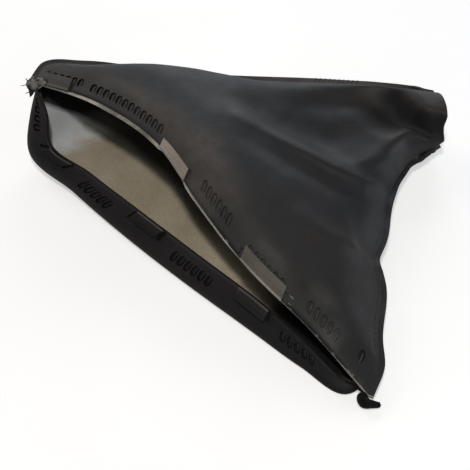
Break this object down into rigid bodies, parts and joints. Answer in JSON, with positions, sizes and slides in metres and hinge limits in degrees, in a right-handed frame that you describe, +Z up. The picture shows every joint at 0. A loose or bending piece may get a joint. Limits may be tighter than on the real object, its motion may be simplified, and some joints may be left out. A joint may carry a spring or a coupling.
{
  "type": "handbrake gaiter",
  "caption": "Black leather handbrake gaiter lying on its side, with a wide mouth edged by clip strips and a narrow collar for the lever.",
  "frame": {"origin": "centre of the bounding box in plan, on the table", "axes": "+X along the mouth from its left corner to its right corner, +Y from the mouth toward the collar, +Z up"},
  "size_m": [0.2468, 0.174, 0.0522],
  "materials": {
    "black_leather": "satin",
    "black_plastic": "satin",
    "black_cord": "matte"
  },
  "bodies": {
    "root": {"upper_panel": "black_leather", "lower_panel": "black_leather", "upper_strip": "black_plastic", "lower_strip": "black_plastic", "corner_tail": "black_cord"}
  },
  "joints": []
}
